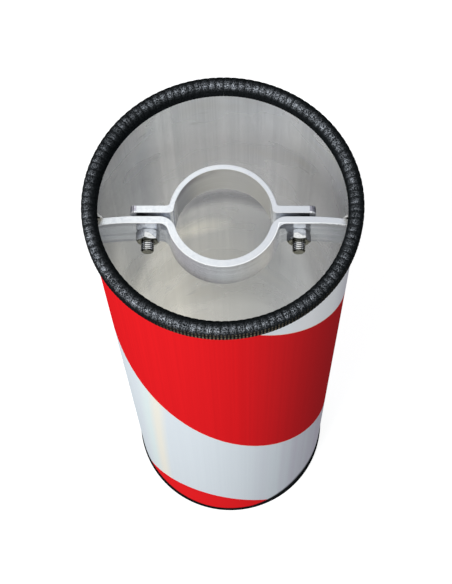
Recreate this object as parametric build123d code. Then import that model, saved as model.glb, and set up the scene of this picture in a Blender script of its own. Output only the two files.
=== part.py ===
from build123d import *
import math
import os

# Reflective post sleeve: an aluminium tube with striped reflective film and rubber edge trims.
# Two bolted saddle clamps inside the tube grip the post.
# Frame: origin at the foot's centre, +Z up along the post, nuts on the -Y side. Millimetres.

# Sleeve tube
tube_diameter = 200.0
tube_wall = 3.0
tube_length = 594.0

# Reflective film and its stripes, heights measured at the front above the foot
film_thickness = 0.4
film_adhesive = 0.05
film_end_margin = 2.0
film_seam_gap = 0.5
stripe_angle = 44.0
red_band_height = 314.0
red_band_low_edge = 288.0
foot_patch_top = 67.5
foot_patch_turn = -19.0
foot_patch_steepness = 64.5

# Top edge trim: rubber channel gripping the wall, with a steel strip moulded inside it
trim_crown = 4.0
trim_leg_length = 9.5
trim_outer_leg = 4.1
trim_inner_leg = 2.4
trim_grip_width = 1.6
trim_fin_height = 1.4
trim_fin_pitch = 3.2
trim_crown_round = 5.6
trim_leg_round = 0.9
trim_slot_clearance = 0.05
trim_butt_gap = 0.3
core_thickness = 0.6
core_wall_cover = 0.6
core_roof_cover = 0.9
core_end_cover = 1.6
core_bend_round = 1.0
core_clearance = 0.05

# Foot trim: slim rubber channel under the wall
foot_trim_crown = 2.0
foot_trim_leg = 1.15
foot_trim_leg_height = 4.0
foot_trim_round = 0.8
foot_trim_lip_round = 0.4

# Post clamps, drawn up empty
clamp_bore = 74.5
strip_width = 35.0
strip_edge_round = 0.5
clamp_setback = 25.2
bar_thickness = 6.0
bar_back = -1.85
bar_bend_radius = 7.0
bar_set_radius = 180.0
bar_end_gap = 0.1
clamp_gap = 2.8
cap_arch_thickness = 4.0
cap_ear_thickness = 6.0
cap_ear_end = 12.75
cap_corner_round = 4.5
cap_front_bend = 3.5
cap_back_bend = 2.5
weld_leg = 7.5
weld_end_inset = 1.5
weld_gap = 0.05

# Carriage bolts and nuts, size M10
bolt_room = 1.5
bolt_length = 31.0
thread_diameter = 9.8
thread_end_chamfer = 1.0
bolt_head_diameter = 24.0
bolt_head_height = 5.4
bolt_head_rim = 1.0
neck_oversize = 0.2
neck_inset = 0.5
neck_clearance = 0.2
bar_hole_clearance = 0.6
nut_across_flats = 16.0
nut_height = 8.0
nut_bore_clearance = 0.05
nut_seat_gap = 0.05
nut_face_inset = 0.4
nut_chamfer_angle = 30.0
left_nut_turn = -18.5
right_nut_turn = -3.4

# Sizes that follow from the ones above
outer_radius = tube_diameter / 2
inner_radius = outer_radius - tube_wall
overall_height = tube_length + trim_crown + foot_trim_crown
tube_top = overall_height - trim_crown
film_inner_radius = outer_radius + film_adhesive
film_outer_radius = film_inner_radius + film_thickness
film_bottom = foot_trim_crown + film_end_margin
film_height = tube_length - 2 * film_end_margin
trim_slot_start = inner_radius - trim_grip_width
trim_slot_end = film_outer_radius + trim_slot_clearance
trim_inner_radius = trim_slot_start - trim_inner_leg
trim_outer_radius = trim_slot_end + trim_outer_leg
trim_leg_end = tube_top - trim_leg_length
grip_radius = clamp_bore / 2
bar_front = bar_back - bar_thickness
ear_front = bar_back + clamp_gap
ear_back = ear_front + cap_ear_thickness
neck_side = thread_diameter + neck_oversize
nut_corner_radius = nut_across_flats / math.sqrt(3)
nut_face_radius = (nut_across_flats - nut_face_inset) / 2
bar_arch_radius = grip_radius + bar_thickness
bar_bend_y = bar_front - bar_bend_radius
bar_bend_x = math.sqrt((bar_arch_radius + bar_bend_radius) ** 2 - bar_bend_y**2)
cap_arch_radius = grip_radius + cap_arch_thickness
cap_bend_y = ear_back + cap_back_bend
cap_bend_x = math.sqrt((cap_arch_radius + cap_back_bend) ** 2 - cap_bend_y**2)
bolt_offset = bolt_room + max(bar_bend_x + nut_face_radius, cap_bend_x + bolt_head_diameter / 2)
cap_length = 2 * (bolt_offset + cap_ear_end)
bar_set_start = bolt_offset + nut_corner_radius
upper_clamp_height = overall_height - clamp_setback - strip_width / 2
lower_clamp_height = clamp_setback + strip_width / 2
low = (Align.MIN, Align.MIN)
upright = (Align.CENTER, Align.CENTER, Align.MIN)


def sleeve_tube():
    tube = Cylinder(outer_radius, tube_length, align=upright)
    bore = Cylinder(inner_radius, tube_length, align=upright)
    return Pos(0, 0, foot_trim_crown) * (tube - bore)


def film_sheet():
    sheet = Cylinder(film_outer_radius, film_height, align=upright)
    sheet -= Cylinder(film_inner_radius, film_height, align=upright)
    seam = Pos(0, outer_radius, 0) * Box(film_seam_gap, outer_radius, film_height, align=upright)
    return Pos(0, 0, film_bottom) * (sheet - seam)


def red_band_sweep():
    # One left-hand turn that starts at the seam behind and passes the front at half its rise
    rise = math.pi * tube_diameter * math.tan(math.radians(stripe_angle))
    path = Helix(pitch=rise, height=rise, radius=outer_radius, lefthand=True)
    depth = 6 * tube_wall
    section = Pos(outer_radius, red_band_height / 2) * Rectangle(depth, red_band_height)
    band = sweep(sections=Plane.XZ * section, path=path, is_frenet=True)
    return Pos(0, 0, red_band_low_edge - rise / 2) * Rot(0, 0, 90) * band


def foot_patch_space():
    # Everything under a steep plane whose highest point on the tube is at the front
    facing = math.radians(foot_patch_turn - 90)
    steepness = math.radians(foot_patch_steepness)
    lean = Vector(math.cos(facing), math.sin(facing)) * math.sin(steepness)
    crest = Vector(math.cos(facing), math.sin(facing)) * outer_radius + Vector(0, 0, foot_patch_top)
    plane = Plane(origin=crest, z_dir=Vector(0, 0, math.cos(steepness)) - lean)
    reach = 2 * (tube_diameter + foot_patch_top)
    return plane * Box(reach, reach, reach, align=(Align.CENTER, Align.CENTER, Align.MAX))


def trim_channel(skin):
    # Section of the steel strip inside the trim, in radius and height, grown by the skin
    start = trim_slot_start - core_wall_cover - core_thickness - skin
    end = trim_slot_end + core_wall_cover + core_thickness + skin
    foot = trim_leg_end + core_end_cover - skin
    roof = tube_top + core_roof_cover + core_thickness + skin
    body = Pos(start, foot) * Rectangle(end - start, roof - foot, align=low)
    body = fillet(body.vertices().group_by(Axis.Y)[-1], core_bend_round + skin)
    sheet = core_thickness + 2 * skin
    hollow = Pos(start + sheet, foot) * Rectangle(end - start - 2 * sheet, roof - foot - sheet, align=low)
    return body - fillet(hollow.vertices().group_by(Axis.Y)[-1], core_bend_round - core_thickness - skin)


def trim_section():
    width = trim_outer_radius - trim_inner_radius
    height = trim_crown + trim_leg_length
    body = Pos(trim_inner_radius, trim_leg_end) * Rectangle(width, height, align=low)
    body = fillet(body.vertices().group_by(Axis.Y)[-1], trim_crown_round)
    slot = Rectangle(trim_slot_end - trim_slot_start, trim_leg_length, align=low)
    body -= Pos(trim_slot_start, trim_leg_end) * slot
    body = fillet(body.vertices().group_by(Axis.Y)[0], trim_leg_round)
    fin = Rectangle(trim_grip_width - trim_slot_clearance, trim_fin_height, align=low)
    first_fin = trim_leg_end + core_end_cover
    for step in range(2):
        body += Pos(trim_slot_start, first_fin + step * trim_fin_pitch) * fin
    return body - trim_channel(core_clearance)


def trim_ring(section):
    gap_angle = math.degrees(trim_butt_gap / outer_radius)
    ring = revolve(Plane.XZ * section, axis=Axis.Z, revolution_arc=360 - gap_angle)
    return Rot(0, 0, 90 + gap_angle / 2) * ring


def foot_trim_section():
    slot_start = inner_radius - trim_slot_clearance
    slot_end = film_outer_radius + trim_slot_clearance
    width = slot_end - slot_start + 2 * foot_trim_leg
    height = foot_trim_crown + foot_trim_leg_height
    body = Pos(slot_start - foot_trim_leg, 0) * Rectangle(width, height, align=low)
    body = fillet(body.vertices().group_by(Axis.Y)[0], foot_trim_round)
    slot = Rectangle(slot_end - slot_start, foot_trim_leg_height, align=low)
    body -= Pos(slot_start, foot_trim_crown) * slot
    return fillet(body.vertices().group_by(Axis.Y)[-1], foot_trim_lip_round)


def polar(radius, angle):
    return Vector(radius * math.cos(angle), radius * math.sin(angle))


def arc_about(centre, radius, start, end):
    middle = (start + end) / 2
    points = [centre + polar(radius, angle) for angle in (start, middle, end)]
    return ThreePointArc(*points)


def mirrored_face(edges):
    half = make_face(edges)
    return half + mirror(half, about=Plane.YZ)


def bar_back_at(x):
    # Back face of the bar where it is set forward
    return bar_back - bar_set_radius + math.sqrt(bar_set_radius**2 - (x - bar_set_start) ** 2)


def bar_section():
    # Half of the bent bar: arch under the post, bend, straight wing, then a slight forward set
    bend = Vector(bar_bend_x, bar_bend_y)
    bend_angle = math.atan2(bar_bend_y, bar_bend_x)
    swing = math.asin((inner_radius - bar_set_start) / bar_set_radius)
    set_centre = Vector(bar_set_start, bar_back - bar_set_radius)
    up = math.pi / 2
    set_front_radius = bar_set_radius - bar_thickness
    back_end = set_centre + polar(bar_set_radius, up - swing)
    front_end = set_centre + polar(set_front_radius, up - swing)
    edges = [
        arc_about(Vector(0, 0), grip_radius, -up, bend_angle),
        arc_about(bend, bar_bend_radius + bar_thickness, bend_angle + math.pi, up),
        Line(bend + Vector(0, bar_bend_radius + bar_thickness), Vector(bar_set_start, bar_back)),
        arc_about(set_centre, bar_set_radius, up, up - swing),
        Line(back_end, front_end),
        arc_about(set_centre, set_front_radius, up - swing, up),
        Line(Vector(bar_set_start, bar_front), bend + Vector(0, bar_bend_radius)),
        arc_about(bend, bar_bend_radius, up, bend_angle + math.pi),
        arc_about(Vector(0, 0), bar_arch_radius, bend_angle, -up),
        Line(Vector(0, -bar_arch_radius), Vector(0, -grip_radius)),
    ]
    return mirrored_face(edges)


def cap_section():
    # Half of the loose saddle: thin arch over the post and a thicker ear
    front_y = ear_front + cap_front_bend
    front_x = math.sqrt((grip_radius + cap_front_bend) ** 2 - front_y**2)
    front = Vector(front_x, front_y)
    front_angle = math.atan2(front_y, front_x)
    back = Vector(cap_bend_x, cap_bend_y)
    back_angle = math.atan2(cap_bend_y, cap_bend_x)
    up = math.pi / 2
    edges = [
        arc_about(Vector(0, 0), grip_radius, up, front_angle),
        arc_about(front, cap_front_bend, front_angle + math.pi, 3 * up),
        Line(Vector(front_x, ear_front), Vector(cap_length / 2, ear_front)),
        Line(Vector(cap_length / 2, ear_front), Vector(cap_length / 2, ear_back)),
        Line(Vector(cap_length / 2, ear_back), Vector(cap_bend_x, ear_back)),
        arc_about(back, cap_back_bend, 3 * up, back_angle + math.pi),
        arc_about(Vector(0, 0), cap_arch_radius, back_angle, up),
        Line(Vector(0, cap_arch_radius), Vector(0, grip_radius)),
    ]
    return mirrored_face(edges)


def strip_from(section):
    strip = extrude(section, amount=strip_width / 2, both=True)
    flat_faces = strip.faces().filter_by(Axis.Z)
    return fillet(flat_faces.edges(), strip_edge_round)


def across(piece):
    # Turns a piece built along +Z so that it points to -Y
    return Rot(90, 0, 0) * piece


def bolt_places():
    return [Pos(side * bolt_offset, 0, 0) for side in (-1, 1)]


def clamp_bar():
    bar = strip_from(bar_section())
    bar &= Cylinder(inner_radius - bar_end_gap, strip_width)
    hole = across(Cylinder(thread_diameter / 2 + bar_hole_clearance, tube_diameter))
    for place in bolt_places():
        bar -= place * hole
    return bar


def clamp_cap():
    cap = strip_from(cap_section())
    outline = RectangleRounded(cap_length, strip_width, cap_corner_round)
    cap &= across(extrude(outline, amount=tube_diameter, both=True))
    hole_side = neck_side + 2 * neck_clearance
    hole = across(Box(hole_side, hole_side, 4 * cap_ear_thickness))
    for place in bolt_places():
        cap -= place * Pos(0, (ear_front + ear_back) / 2, 0) * hole
    return cap


def carriage_bolt():
    head_radius = bolt_head_diameter / 2
    dome = bolt_head_height - bolt_head_rim
    sphere_radius = (head_radius**2 + dome**2) / (2 * dome)
    head = Pos(0, 0, -bolt_head_height) * Cylinder(head_radius, bolt_head_height, align=upright)
    head &= Pos(0, 0, sphere_radius - bolt_head_height) * Sphere(sphere_radius)
    neck = Box(neck_side, neck_side, cap_ear_thickness - neck_inset, align=upright)
    shank = Cylinder(thread_diameter / 2, bolt_length, align=upright)
    shank = chamfer(shank.edges().sort_by(Axis.Z)[-1], thread_end_chamfer)
    return Pos(0, ear_back, 0) * across(head + neck + shank)


def hex_nut(turn):
    outline = RegularPolygon(nut_across_flats / 2, 6, major_radius=False, rotation=turn)
    nut = extrude(outline, amount=nut_height)
    inset = nut_corner_radius - nut_face_radius
    drop = inset * math.tan(math.radians(nut_chamfer_angle))
    blank = Cylinder(nut_corner_radius, nut_height, align=upright)
    wall = blank.faces().sort_by(SortBy.AREA)[-1]
    nut &= chamfer(blank.edges().filter_by(GeomType.CIRCLE), length=drop, length2=inset, reference=wall)
    nut -= Cylinder(thread_diameter / 2 + nut_bore_clearance, nut_height, align=upright)
    return Pos(0, bar_front - nut_seat_gap, 0) * across(nut)


def bar_weld(side):
    # Fillet bead between the back of the bar's end and the tube wall
    corner = Vector(inner_radius, bar_back_at(inner_radius))
    bar_toe = Vector(inner_radius - weld_leg, bar_back_at(inner_radius - weld_leg))
    wall_toe = corner + Vector(0, weld_leg)
    bead = make_face(Polyline(corner, wall_toe, bar_toe, close=True))
    bead &= Circle(inner_radius - weld_gap)
    bead -= Pos(0, weld_gap) * bar_section()
    bead = extrude(bead, amount=strip_width / 2 - weld_end_inset, both=True)
    return bead if side > 0 else mirror(bead, about=Plane.YZ)


def clamp_pieces():
    left, right = bolt_places()
    bolt = carriage_bolt()
    return {
        "clamp_bar": clamp_bar(),
        "clamp_cap": clamp_cap(),
        "left_bolt": left * bolt,
        "right_bolt": right * bolt,
        "left_nut": left * hex_nut(left_nut_turn),
        "right_nut": right * hex_nut(right_nut_turn),
        "left_weld": bar_weld(-1),
        "right_weld": bar_weld(1),
    }


def film_pieces():
    sheet = film_sheet()
    band = red_band_sweep()
    patch = foot_patch_space()
    whites = (sheet - band - patch).solids().sort_by(Axis.Z)
    return {
        "film_lower_white": whites[0],
        "film_upper_white": whites[-1],
        "film_red_band": sheet & band,
        "film_foot_red": sheet & patch,
    }


def all_pieces():
    pieces = {
        "sleeve_tube": sleeve_tube(),
        "top_trim": trim_ring(trim_section()),
        "top_trim_core": trim_ring(trim_channel(0)),
        "bottom_trim": trim_ring(foot_trim_section()),
    }
    pieces.update(film_pieces())
    clamp = clamp_pieces()
    for level, height in (("upper", upper_clamp_height), ("lower", lower_clamp_height)):
        for name, piece in clamp.items():
            pieces[f"{level}_{name}"] = Pos(0, 0, height) * piece
    return pieces


os.makedirs("parts", exist_ok=True)
for node, piece in all_pieces().items():
    export_step(piece, f"parts/{node}.step")
    print(node, round(piece.volume, 1))
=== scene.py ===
import math
import bmesh
import bpy
from mathutils import Matrix, Vector


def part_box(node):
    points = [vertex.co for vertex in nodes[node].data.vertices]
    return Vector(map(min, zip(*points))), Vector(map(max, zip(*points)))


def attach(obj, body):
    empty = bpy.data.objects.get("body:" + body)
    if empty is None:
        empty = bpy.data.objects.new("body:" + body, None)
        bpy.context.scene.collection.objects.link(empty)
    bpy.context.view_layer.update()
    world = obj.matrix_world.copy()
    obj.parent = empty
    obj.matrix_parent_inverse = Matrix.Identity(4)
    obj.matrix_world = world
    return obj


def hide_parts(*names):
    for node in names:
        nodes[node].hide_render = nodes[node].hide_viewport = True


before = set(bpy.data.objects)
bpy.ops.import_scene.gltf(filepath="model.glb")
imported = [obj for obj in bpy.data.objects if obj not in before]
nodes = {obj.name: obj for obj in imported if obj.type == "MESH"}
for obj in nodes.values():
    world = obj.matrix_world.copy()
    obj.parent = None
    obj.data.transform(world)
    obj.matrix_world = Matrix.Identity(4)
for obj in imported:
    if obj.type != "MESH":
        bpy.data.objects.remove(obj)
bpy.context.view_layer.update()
mm = 0.001
samePoint = 0.001 * mm  # points closer than this are taken as one
levels = ("upper", "lower")
sides = ("left", "right")
print("frame loaded:", len(nodes), "nodes")


# Small helpers for modelling by operators

def clearSelection():
    bpy.ops.object.select_all(action="DESELECT")


def activate(piece):  # selects this piece alone
    clearSelection()
    piece.select_set(True)
    bpy.context.view_layer.objects.active = piece


def openEdit(piece):
    activate(piece)
    bpy.ops.object.mode_set(mode="EDIT")
    bpy.ops.mesh.select_mode(type="VERT")


def closeEdit():
    bpy.ops.object.mode_set(mode="OBJECT")


def selectAll():
    bpy.ops.mesh.select_all(action="SELECT")


def pick(piece, test):  # selects the vertices whose place passes the test
    bpy.ops.mesh.select_all(action="DESELECT")
    shape = bmesh.from_edit_mesh(piece.data)
    for vert in shape.verts:
        vert.select = test(vert.co)
    shape.select_flush(True)
    bmesh.update_edit_mesh(piece.data)


def spinRound(steps, angle, copies=False):  # about the upright axis
    selectAll()
    bpy.ops.mesh.spin(steps=steps, angle=angle, dupli=copies, center=(0, 0, 0), axis=(0, 0, 1))


def mergeDoubles(reach):
    selectAll()
    bpy.ops.mesh.remove_doubles(threshold=reach)


def turnOutwards():
    selectAll()
    bpy.ops.mesh.normals_make_consistent(inside=False)


def sealShell():  # fills what is still open and turns all faces outwards
    selectAll()
    bpy.ops.mesh.fill_holes(sides=0)
    turnOutwards()
    closeEdit()


def named(name):
    piece = bpy.context.object
    piece.name = name
    piece.data.name = name
    return piece


def traceOutline(name, points):  # an open wire, drawn corner by corner with extrude
    clearSelection()
    bpy.ops.mesh.primitive_plane_add(size=mm)
    piece = named(name)
    openEdit(piece)
    selectAll()
    bpy.ops.mesh.merge(type="CENTER")
    bpy.ops.transform.translate(value=points[0])
    for here, there in zip(points, points[1:]):
        bpy.ops.mesh.extrude_region_move(TRANSFORM_OT_translate={"value": there - here})
    return piece


def closeOutline(piece, points):
    ends = (points[0], points[-1])
    pick(piece, lambda co: min((co - end).length for end in ends) < samePoint)
    bpy.ops.mesh.edge_face_add()


def arcPoints(centre, radius, start, end, steps):  # in radius and height, angles in degrees
    made = []
    for step in range(steps + 1):
        angle = math.radians(start + (end - start) * step / steps)
        made.append((centre[0] + radius * math.cos(angle), centre[1] + radius * math.sin(angle)))
    return made


def lathe(name, outline, steps):  # outline in mm, radius and height, from axis to axis
    points = [Vector((r * mm, 0, z * mm)) for r, z in outline]
    piece = traceOutline(name, points)
    spinRound(steps, 2 * math.pi)
    mergeDoubles(samePoint / 2)
    turnOutwards()
    closeEdit()
    return piece


def useModifier(piece, kind, **settings):
    modifier = piece.modifiers.new(kind.lower(), kind)
    for key, value in settings.items():
        setattr(modifier, key, value)
    activate(piece)
    bpy.ops.object.modifier_apply(modifier=modifier.name)


def carve(piece, tool, operation):
    useModifier(piece, "BOOLEAN", object=tool, operation=operation, solver="EXACT")
    bpy.data.objects.remove(tool)


def smoothBy(piece, degrees):
    activate(piece)
    bpy.ops.object.shade_smooth_by_angle(angle=math.radians(degrees))


def settle(piece, turn=(0, 0, 0), place=(0, 0, 0)):  # turns and moves a piece, then puts both in its mesh
    piece.rotation_euler = turn
    piece.location = place
    activate(piece)
    bpy.ops.object.transform_apply(location=True, rotation=True, scale=True)


def copyOf(piece, name):
    activate(piece)
    bpy.ops.object.duplicate(linked=False)
    return named(name)


def dress(piece, material, body, node):
    piece.data.materials.clear()
    piece.data.materials.append(material)
    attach(piece, body)
    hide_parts(node)


# Small helpers for materials

def newMaterial(name):
    material = bpy.data.materials.new(name)
    material.use_nodes = True
    tree = material.node_tree
    return material, tree, tree.nodes["Principled BSDF"]


def bareTree(owner):  # an empty node tree, for the floor and the world
    owner.use_nodes = True
    owner.node_tree.nodes.clear()
    return owner.node_tree


def feed(tree, socket, value):
    if isinstance(value, bpy.types.NodeSocket):
        tree.links.new(value, socket)
    else:
        socket.default_value = value


def addNode(tree, kind, inputs=None, **settings):
    made = tree.nodes.new("ShaderNode" + kind)
    for key, value in settings.items():
        setattr(made, key, value)
    for key, value in (inputs or {}).items():
        feed(tree, made.inputs[key], value)
    return made


def calc(tree, operation, a, b=0.0):
    return addNode(tree, "Math", {0: a, 1: b}, operation=operation).outputs[0]


def plus(tree, a, b):
    return calc(tree, "ADD", a, b)


def minus(tree, a, b):
    return calc(tree, "SUBTRACT", a, b)


def times(tree, product, *others):
    for other in others:
        product = calc(tree, "MULTIPLY", product, other)
    return product


def sizeOf(tree, value):  # without its sign
    return calc(tree, "ABSOLUTE", value)


def awayFrom(tree, value, middle):
    return sizeOf(tree, minus(tree, value, middle))


def distance(tree, a, b):
    return calc(tree, "SQRT", plus(tree, times(tree, a, a), times(tree, b, b)))


def mixed(tree, first, second, shares):
    return plus(tree, times(tree, first, shares[0]), times(tree, second, shares[1]))


def spread(tree, value, low, high, toLow=0.0, toHigh=1.0):  # maps low..high to toLow..toHigh
    made = addNode(tree, "MapRange", {0: value, 1: low, 2: high, 3: toLow, 4: toHigh}, clamp=True)
    return made.outputs[0]


def within(tree, look, *ranges):  # product of how far each value is into its named range
    return times(tree, *[spread(tree, value, *look[name]) for value, name in ranges])


def blend(tree, amount, a, b, kind="MIX"):
    settings = {"data_type": "RGBA", "blend_type": kind, "clamp_result": True}
    return addNode(tree, "Mix", {0: amount, 6: a, 7: b}, **settings).outputs[2]


def places(tree):
    return addNode(tree, "TexCoord").outputs["Object"]


def split(tree):  # object coordinates as three numbers
    return addNode(tree, "SeparateXYZ", {0: places(tree)}).outputs


def faceWay(tree):  # the way a flat face points, as three numbers
    flat = addNode(tree, "NewGeometry").outputs["True Normal"]
    return addNode(tree, "SeparateXYZ", {0: flat}).outputs


def turnRound(tree, x, y):  # angle round the sleeve, 0 at the front, in radians
    return calc(tree, "ARCTAN2", x, times(tree, y, -1.0))


def noise(tree, vector, scale=1.0, detail=2.0):
    made = addNode(tree, "TexNoise", {"Vector": vector, "Scale": scale, "Detail": detail})
    return made.outputs["Fac"]


def pattern(tree, scale, detail=2.0):  # noise on object coordinates, scaled per axis
    vector = addNode(tree, "Mapping", {"Vector": places(tree), "Scale": scale}).outputs[0]
    return noise(tree, vector, detail=detail)


def bump(tree, shader, height, strength, deep):
    made = addNode(tree, "Bump", {"Strength": strength, "Distance": deep, "Height": height})
    tree.links.new(made.outputs[0], shader.inputs["Normal"])


def finishWith(tree, shader, colour, rough, metal=0.0):
    feed(tree, shader.inputs["Base Color"], colour)
    feed(tree, shader.inputs["Roughness"], rough)
    shader.inputs["Metallic"].default_value = metal


def grey(level):
    return (level, level, level, 1)


# Camera at the photograph's place

cameraSet = {
    "place": (0.017981, -0.428481, 1.524213),
    "aim": (-0.001667, 0.042866, 0.300),
    "roll": -2.093,  # degrees
    "lens": 85.424,
    "sensor": 36.0,
}


def placeCamera():
    bpy.ops.object.camera_add(location=cameraSet["place"])
    camera = bpy.context.object
    look = Vector(cameraSet["aim"]) - Vector(cameraSet["place"])
    roll = Matrix.Rotation(math.radians(cameraSet["roll"]), 3, "Z")
    camera.rotation_euler = (look.to_track_quat("-Z", "Y").to_matrix() @ roll).to_euler()
    camera.data.lens = cameraSet["lens"]
    camera.data.sensor_width = cameraSet["sensor"]
    bpy.context.scene.camera = camera


placeCamera()
print("camera placed")


# Pale floor, white surroundings and soft lamps

stageSet = {
    "floorSize": 8.0,
    "floorColour": grey(0.35),
    "floorSeen": 0.84,  # glow for the camera
    "floorMirrored": 0.91,  # glow in reflections
    "mirrorColour": (1.0, 0.985, 0.905, 1),
    "floorDrop": 0.0002,
    "worldColour": (0.94, 0.97, 1.0, 1),
    "worldLight": 0.50,
    "keyPlace": (-1.3, -1.5, 2.1),
    "keyPower": 54.0,
    "keySize": 1.2,
    "fillPlace": (0.8, -0.8, 1.4),
    "fillPower": 1.2,
    "fillSize": 0.6,
    "lampAim": (0, 0, 0.35),
}


def seenOrReflected(tree):  # 1 for camera, glossy and transmission rays
    path = addNode(tree, "LightPath").outputs
    seen = calc(tree, "MAXIMUM", path["Is Camera Ray"], path["Is Glossy Ray"])
    return calc(tree, "MAXIMUM", seen, path["Is Transmission Ray"])


def setFloor():
    clearSelection()
    bpy.ops.mesh.primitive_plane_add(size=stageSet["floorSize"], location=(0, 0, -stageSet["floorDrop"]))
    floor = named("floor")
    material = bpy.data.materials.new("paleFloor")
    tree = bareTree(material)
    matt = addNode(tree, "BsdfDiffuse", {"Color": stageSet["floorColour"]})
    byCamera = addNode(tree, "LightPath").outputs["Is Camera Ray"]
    level = spread(tree, byCamera, 0.0, 1.0, stageSet["floorMirrored"], stageSet["floorSeen"])
    glow = times(tree, seenOrReflected(tree), level)
    tint = blend(tree, byCamera, stageSet["mirrorColour"], grey(1))
    light = addNode(tree, "Emission", {"Color": tint, "Strength": glow})
    both = addNode(tree, "AddShader", {0: matt.outputs[0], 1: light.outputs[0]})
    addNode(tree, "OutputMaterial", {"Surface": both.outputs[0]})
    floor.data.materials.append(material)


def setWorld():
    world = bpy.data.worlds.new("studio")
    bpy.context.scene.world = world
    tree = bareTree(world)
    strength = spread(tree, seenOrReflected(tree), 0.0, 1.0, stageSet["worldLight"], 1.0)
    byCamera = addNode(tree, "LightPath").outputs["Is Camera Ray"]
    tint = blend(tree, byCamera, stageSet["worldColour"], grey(1))
    back = addNode(tree, "Background", {"Color": tint, "Strength": strength})
    addNode(tree, "OutputWorld", {"Surface": back.outputs[0]})


def addLamp(name, place, power, size):
    clearSelection()
    bpy.ops.object.light_add(type="AREA", location=place)
    lamp = bpy.context.object
    lamp.name = name
    lamp.data.energy = power
    lamp.data.size = size
    lamp.visible_glossy = False  # bright metal mirrors the surroundings, not the lamps
    look = Vector(stageSet["lampAim"]) - Vector(place)
    lamp.rotation_euler = look.to_track_quat("-Z", "Y").to_euler()


setFloor()
setWorld()
for lamp in ("key", "fill"):
    addLamp(lamp + "Lamp", stageSet[lamp + "Place"], stageSet[lamp + "Power"], stageSet[lamp + "Size"])
bpy.context.scene.view_settings.view_transform = "Standard"
print("stage set")


# Drawn aluminium of the tube. Here and below, a setting of two or four numbers is mostly a range:
# where something starts and is full, then its least and most where they aren't 0 and 1

tubeLook = {
    "front": (1.0, 1.0, 1.0, 1),
    # painted shade: the rear wall is darker than the front, and its tones below are painted light and shade
    "rear": (0.647, 0.655, 0.698, 1),
    "rearStarts": (-0.02, 0.03),
    "leftSheen": (1.0, 1.0, 1.0, 1),
    "leftReach": (-0.020, -0.078),
    "rightSheen": (0.76, 0.77, 0.86, 1),
    "rightReach": (0.0, 0.085),
    "topLift": (1.20, 1.23, 1.24, 1),  # painted light: brighter near the rim, as a factor
    "topStarts": (0.51, 0.57),
    "lowLeft": (1.0, 0.98, 0.91, 1),  # painted shade: darker low down, most on the right, as factors
    "lowRight": (0.57, 0.59, 0.60, 1),
    "lowReach": (-0.050, 0.055),
    "lowStarts": (0.43, 0.29),
    "lowShadeStreak": (0.56, 0.56, 0.55, 1),
    "shadeStreakAt": (-0.077, 0.023),  # painted shade in one upright streak low down: middle and half width
    "smear": (0.42, 0.43, 0.46, 1),
    "smears": (45, 45, 110),
    "smearRange": (0.62, 0.74, 0.0, 0.5),
    "smearSide": (0.0, -0.03),
    "shade": (0.345, 0.35, 0.39, 1),  # painted shade: soft dark arc behind the post's passage
    "shadeAt": (0.400, 0.020),  # height and half width
    "shadeCore": 0.2,  # share of its width that is full
    "shadeBend": 6.0,
    "shadeReach": (0.050, 0.030),
    "reflectionSpot": (0.96, 0.94, 0.88, 1),  # painted reflection, bright low on the left
    "reflectionSpotAt": (-0.036, 0.336),
    "reflectionSpotFlat": 0.55,
    "reflectionSpotWide": (0.024, 0.0),
    "line": (0.76, 0.77, 0.79, 1),  # draw lines, as a factor
    "lineMix": (0.5, 0.5),
    "lineRange": (0.60, 0.38, 0.0, 0.5),
    "lineFade": (0.24, 0.32, 0.4, 1.0),  # weaker below
    "stain": (0.62, 0.60, 0.55, 1),
    "stainRange": (0.58, 0.80, 0.0, 0.4),
    "drawLines": (950, 950, 5),
    "broadLines": (120, 120, 1.0),
    "smudges": (14, 14, 20),
    "rough": (0.3, 0.75, 0.22, 0.32),
    "bump": (0.05, 0.04 * mm),
    "metal": 0.90,
}


def flank(tree, x, reach):  # rises ever faster towards one side of the tube
    share = spread(tree, x, *reach)
    return times(tree, share, share)


def rearPaintedLight(tree, x, z):  # painted light and shade: paler at both flanks and near the rim, darker low down
    look = tubeLook
    tone = blend(tree, flank(tree, x, look["leftReach"]), look["rear"], look["leftSheen"])
    tone = blend(tree, flank(tree, x, look["rightReach"]), tone, look["rightSheen"])
    tone = blend(tree, spread(tree, z, *look["topStarts"]), tone, look["topLift"], "MULTIPLY")
    # painted shade low down, most on the right, and in one streak
    dull = blend(tree, spread(tree, x, *look["lowReach"]), look["lowLeft"], look["lowRight"])
    middle, wide = look["shadeStreakAt"]
    dull = blend(tree, spread(tree, awayFrom(tree, x, middle), wide, 0.0), dull, look["lowShadeStreak"])
    return blend(tree, spread(tree, z, *look["lowStarts"]), tone, dull, "MULTIPLY")


def markedTone(tree, tone, x, z):  # with the painted dark arc of shade and the painted bright reflection spot
    look = tubeLook
    height, wide = look["shadeAt"]
    bent = plus(tree, z, times(tree, x, x, look["shadeBend"]))
    arc = spread(tree, awayFrom(tree, bent, height), wide, look["shadeCore"] * wide)
    arc = times(tree, arc, spread(tree, sizeOf(tree, x), *look["shadeReach"]))
    tone = blend(tree, arc, tone, look["shade"])
    spotX, spotZ = look["reflectionSpotAt"]
    beside = times(tree, minus(tree, x, spotX), look["reflectionSpotFlat"])
    away = distance(tree, beside, minus(tree, z, spotZ))
    return blend(tree, spread(tree, away, *look["reflectionSpotWide"]), tone, look["reflectionSpot"])


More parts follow.
